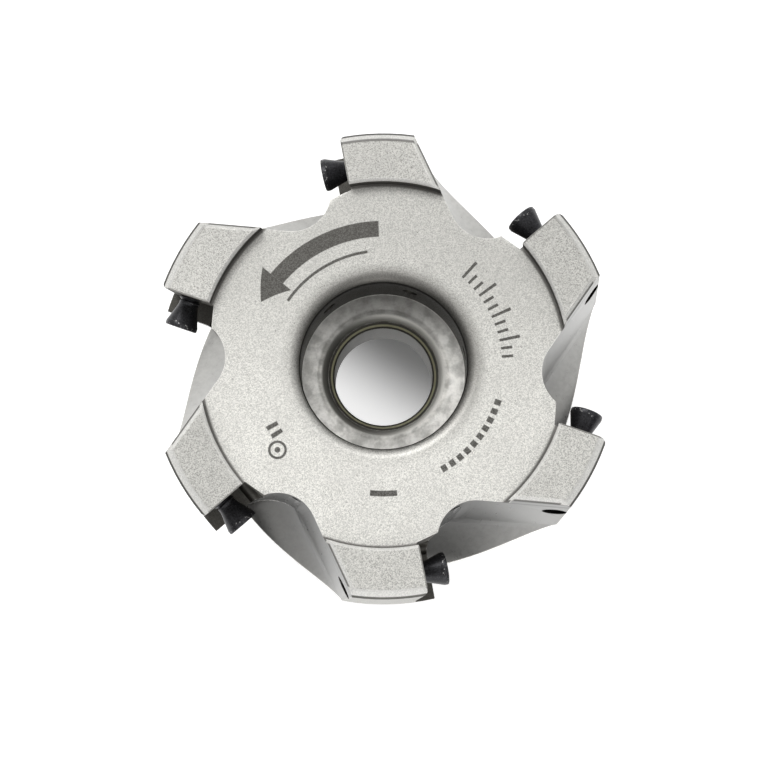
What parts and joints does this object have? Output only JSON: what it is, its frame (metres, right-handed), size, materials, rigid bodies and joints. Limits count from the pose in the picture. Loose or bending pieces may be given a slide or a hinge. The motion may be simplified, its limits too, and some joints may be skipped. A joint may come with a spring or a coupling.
{
  "type": "face mill",
  "caption": "Shell-type face mill body with raised teeth, empty insert pockets, chip gullets, coolant holes and black insert screws standing in their holes.",
  "frame": {"origin": "centre of the back face, at the mouth of the arbor bore", "axes": "+Z along the cutter's axis towards the teeth; the drive slots run along X; the first insert seat faces counter-clockwise at 41 degrees from +X"},
  "size_m": [0.0468, 0.049, 0.0395],
  "materials": {
    "body_steel": "blasted, matt, warm grey",
    "screw_steel": "black oxide, satin"
  },
  "bodies": {
    "cutter": {"cutter_body": "body_steel"},
    "screw_1": {"insert_screw_1": "screw_steel"},
    "screw_2": {"insert_screw_2": "screw_steel"},
    "screw_3": {"insert_screw_3": "screw_steel"},
    "screw_4": {"insert_screw_4": "screw_steel"},
    "screw_5": {"insert_screw_5": "screw_steel"},
    "screw_6": {"insert_screw_6": "screw_steel"}
  },
  "joints": [
    {"name": "screw_1_thread", "type": "slide", "parent": "cutter", "child": "screw_1", "axis": [-0.6525, 0.7506, -0.1045], "range_m": [-0.0015, 0.004]},
    {"name": "screw_2_thread", "type": "slide", "parent": "cutter", "child": "screw_2", "axis": [-0.9762, -0.1898, -0.1045], "range_m": [-0.00095, 0.004]},
    {"name": "screw_3_thread", "type": "slide", "parent": "cutter", "child": "screw_3", "axis": [-0.3238, -0.9403, -0.1045], "range_m": [-0.00145, 0.004]},
    {"name": "screw_4_thread", "type": "slide", "parent": "cutter", "child": "screw_4", "axis": [0.6525, -0.7506, -0.1045], "range_m": [-0.00135, 0.004]},
    {"name": "screw_5_thread", "type": "slide", "parent": "cutter", "child": "screw_5", "axis": [0.9762, 0.1898, -0.1045], "range_m": [-0.0011, 0.004]},
    {"name": "screw_6_thread", "type": "slide", "parent": "cutter", "child": "screw_6", "axis": [0.3238, 0.9403, -0.1045], "range_m": [-0.0014, 0.004]}
  ]
}
